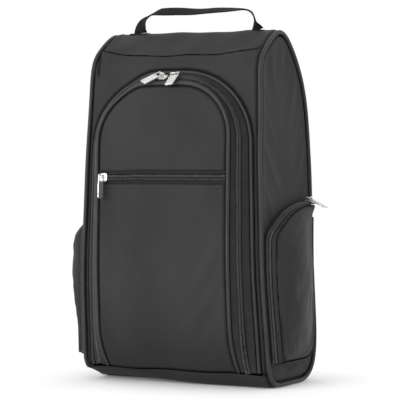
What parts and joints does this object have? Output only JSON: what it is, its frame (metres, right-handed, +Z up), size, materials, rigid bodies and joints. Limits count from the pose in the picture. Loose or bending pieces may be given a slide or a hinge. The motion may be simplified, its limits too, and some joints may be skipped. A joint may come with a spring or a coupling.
{
  "type": "golf shoe bag",
  "caption": "Standing golf shoe bag: fold-down zipped front door with zipped pocket, zipped bulging side pockets and webbing top handle.",
  "frame": {"origin": "on the floor, under the centre of the bag's outline", "axes": "+Z up through the handle, +X to the bag's right-hand side seen from the front, front door faces -Y"},
  "size_m": [0.2724, 0.1644, 0.4042],
  "materials": {
    "shell_fabric": "black plain-weave nylon, padded, dull sheen",
    "piping_fabric": "black fabric over cord, stitched",
    "zip_tape": "black woven zip tape",
    "zip_coil": "black nylon coil",
    "nickel": "bright nickel plate",
    "webbing": "black woven webbing",
    "base_stiffener": "black polyethylene board"
  },
  "bodies": {
    "shell": {"side_panel_left": "shell_fabric", "side_panel_right": "shell_fabric", "corner_piping_left": "piping_fabric", "corner_piping_right": "piping_fabric", "side_pocket_face_left": "shell_fabric", "side_pocket_face_right": "shell_fabric", "side_pocket_gusset_left": "shell_fabric", "side_pocket_gusset_right": "shell_fabric", "side_zip_tape_panel_left": "zip_tape", "side_zip_tape_panel_right": "zip_tape", "side_zip_coil_panel_left": "zip_coil", "side_zip_coil_panel_right": "zip_coil", "top_panel": "shell_fabric", "back_panel": "shell_fabric", "base_panel": "shell_fabric", "base_board": "base_stiffener", "front_frame": "shell_fabric", "opening_piping": "piping_fabric", "main_zip_tape_shell": "zip_tape", "main_zip_coil_shell": "zip_coil", "handle_anchor_left": "webbing", "handle_anchor_right": "webbing"},
    "door": {"main_zip_tape_door": "zip_tape", "main_zip_coil_door": "zip_coil", "door_piping": "piping_fabric", "door_face_upper": "shell_fabric", "door_face_lower": "shell_fabric", "door_backing": "shell_fabric", "pocket_zip_tape_upper": "zip_tape", "pocket_zip_tape_lower": "zip_tape", "pocket_zip_coil_upper": "zip_coil", "pocket_zip_coil_lower": "zip_coil"},
    "side_flap_left": {"side_flap_left": "shell_fabric", "side_zip_tape_flap_left": "zip_tape", "side_zip_coil_flap_left": "zip_coil"},
    "side_flap_right": {"side_flap_right": "shell_fabric", "side_zip_tape_flap_right": "zip_tape", "side_zip_coil_flap_right": "zip_coil"},
    "handle": {"handle_strap": "webbing"},
    "main_slider_left": {"main_left_slider": "nickel"},
    "main_puller_left": {"main_left_puller": "nickel"},
    "main_slider_right": {"main_right_slider": "nickel"},
    "main_puller_right": {"main_right_puller": "nickel"},
    "pocket_slider": {"pocket_slider": "nickel"},
    "pocket_puller": {"pocket_puller": "nickel"},
    "side_slider_left": {"side_left_slider": "nickel"},
    "side_puller_left": {"side_left_puller": "nickel"},
    "side_slider_right": {"side_right_slider": "nickel"},
    "side_puller_right": {"side_right_puller": "nickel"}
  },
  "joints": [
    {"name": "front_door", "type": "hinge", "parent": "shell", "child": "door", "pos_m": [0, -0.04263, 0.0172], "axis": [1, 0, 0], "range_deg": [0, 85]},
    {"name": "handle_swing", "type": "hinge", "parent": "shell", "child": "handle", "pos_m": [0, 0.0105, 0.3835], "axis": [1, 0, 0], "range_deg": [-65, 80]},
    {"name": "main_slider_left", "type": "hinge", "parent": "shell", "child": "main_slider_left", "pos_m": [-0.014, -0.05706, 0.25725], "axis": [0, -0.9969, 0.0785], "range_deg": [0, 96]},
    {"name": "main_slider_right", "type": "hinge", "parent": "shell", "child": "main_slider_right", "pos_m": [0.014, -0.05706, 0.25725], "axis": [0, 0.9969, -0.0785], "range_deg": [0, 96]},
    {"name": "main_puller_left", "type": "hinge", "parent": "main_slider_left", "child": "main_puller_left", "pos_m": [-0.00829, -0.05361, 0.33217], "axis": [-0.0893, 0.5358, -0.8396], "range_deg": [-28, 32]},
    {"name": "main_puller_right", "type": "hinge", "parent": "main_slider_right", "child": "main_puller_right", "pos_m": [0.00829, -0.05361, 0.33217], "axis": [-0.0893, -0.5358, 0.8396], "range_deg": [-10, 60]},
    {"name": "pocket_slider", "type": "slide", "parent": "door", "child": "pocket_slider", "axis": [1, 0, 0], "range_m": [0, 0.138]},
    {"name": "pocket_puller", "type": "hinge", "parent": "pocket_slider", "child": "pocket_puller", "pos_m": [-0.069, -0.07551, 0.22301], "axis": [-1, 0, 0], "range_deg": [0, 105]},
    {"name": "side_flap_left", "type": "hinge", "parent": "shell", "child": "side_flap_left", "pos_m": [-0.13807, -0.0315, 0.02936], "axis": [-0.0269, -0.5418, -0.8401], "range_deg": [0, 60]},
    {"name": "side_slider_left", "type": "hinge", "parent": "side_flap_left", "child": "side_slider_left", "pos_m": [-0.11667, 0.0565, 0.02618], "axis": [0.9995, 0, -0.032], "range_deg": [0, 33.5]},
    {"name": "side_puller_left", "type": "hinge", "parent": "side_slider_left", "child": "side_puller_left", "pos_m": [-0.11286, 0.05983, 0.19896], "axis": [-0.441, 0.0308, 0.897], "range_deg": [-10, 60]},
    {"name": "side_flap_right", "type": "hinge", "parent": "shell", "child": "side_flap_right", "pos_m": [0.13807, -0.0315, 0.02936], "axis": [-0.0269, 0.5418, 0.8401], "range_deg": [0, 60]},
    {"name": "side_slider_right", "type": "hinge", "parent": "side_flap_right", "child": "side_slider_right", "pos_m": [0.11667, 0.0565, 0.02618], "axis": [0.9995, 0, 0.032], "range_deg": [0, 33.5]},
    {"name": "side_puller_right", "type": "hinge", "parent": "side_slider_right", "child": "side_puller_right", "pos_m": [0.11286, 0.05983, 0.19896], "axis": [-0.441, -0.0308, -0.897], "range_deg": [-10, 60]}
  ]
}
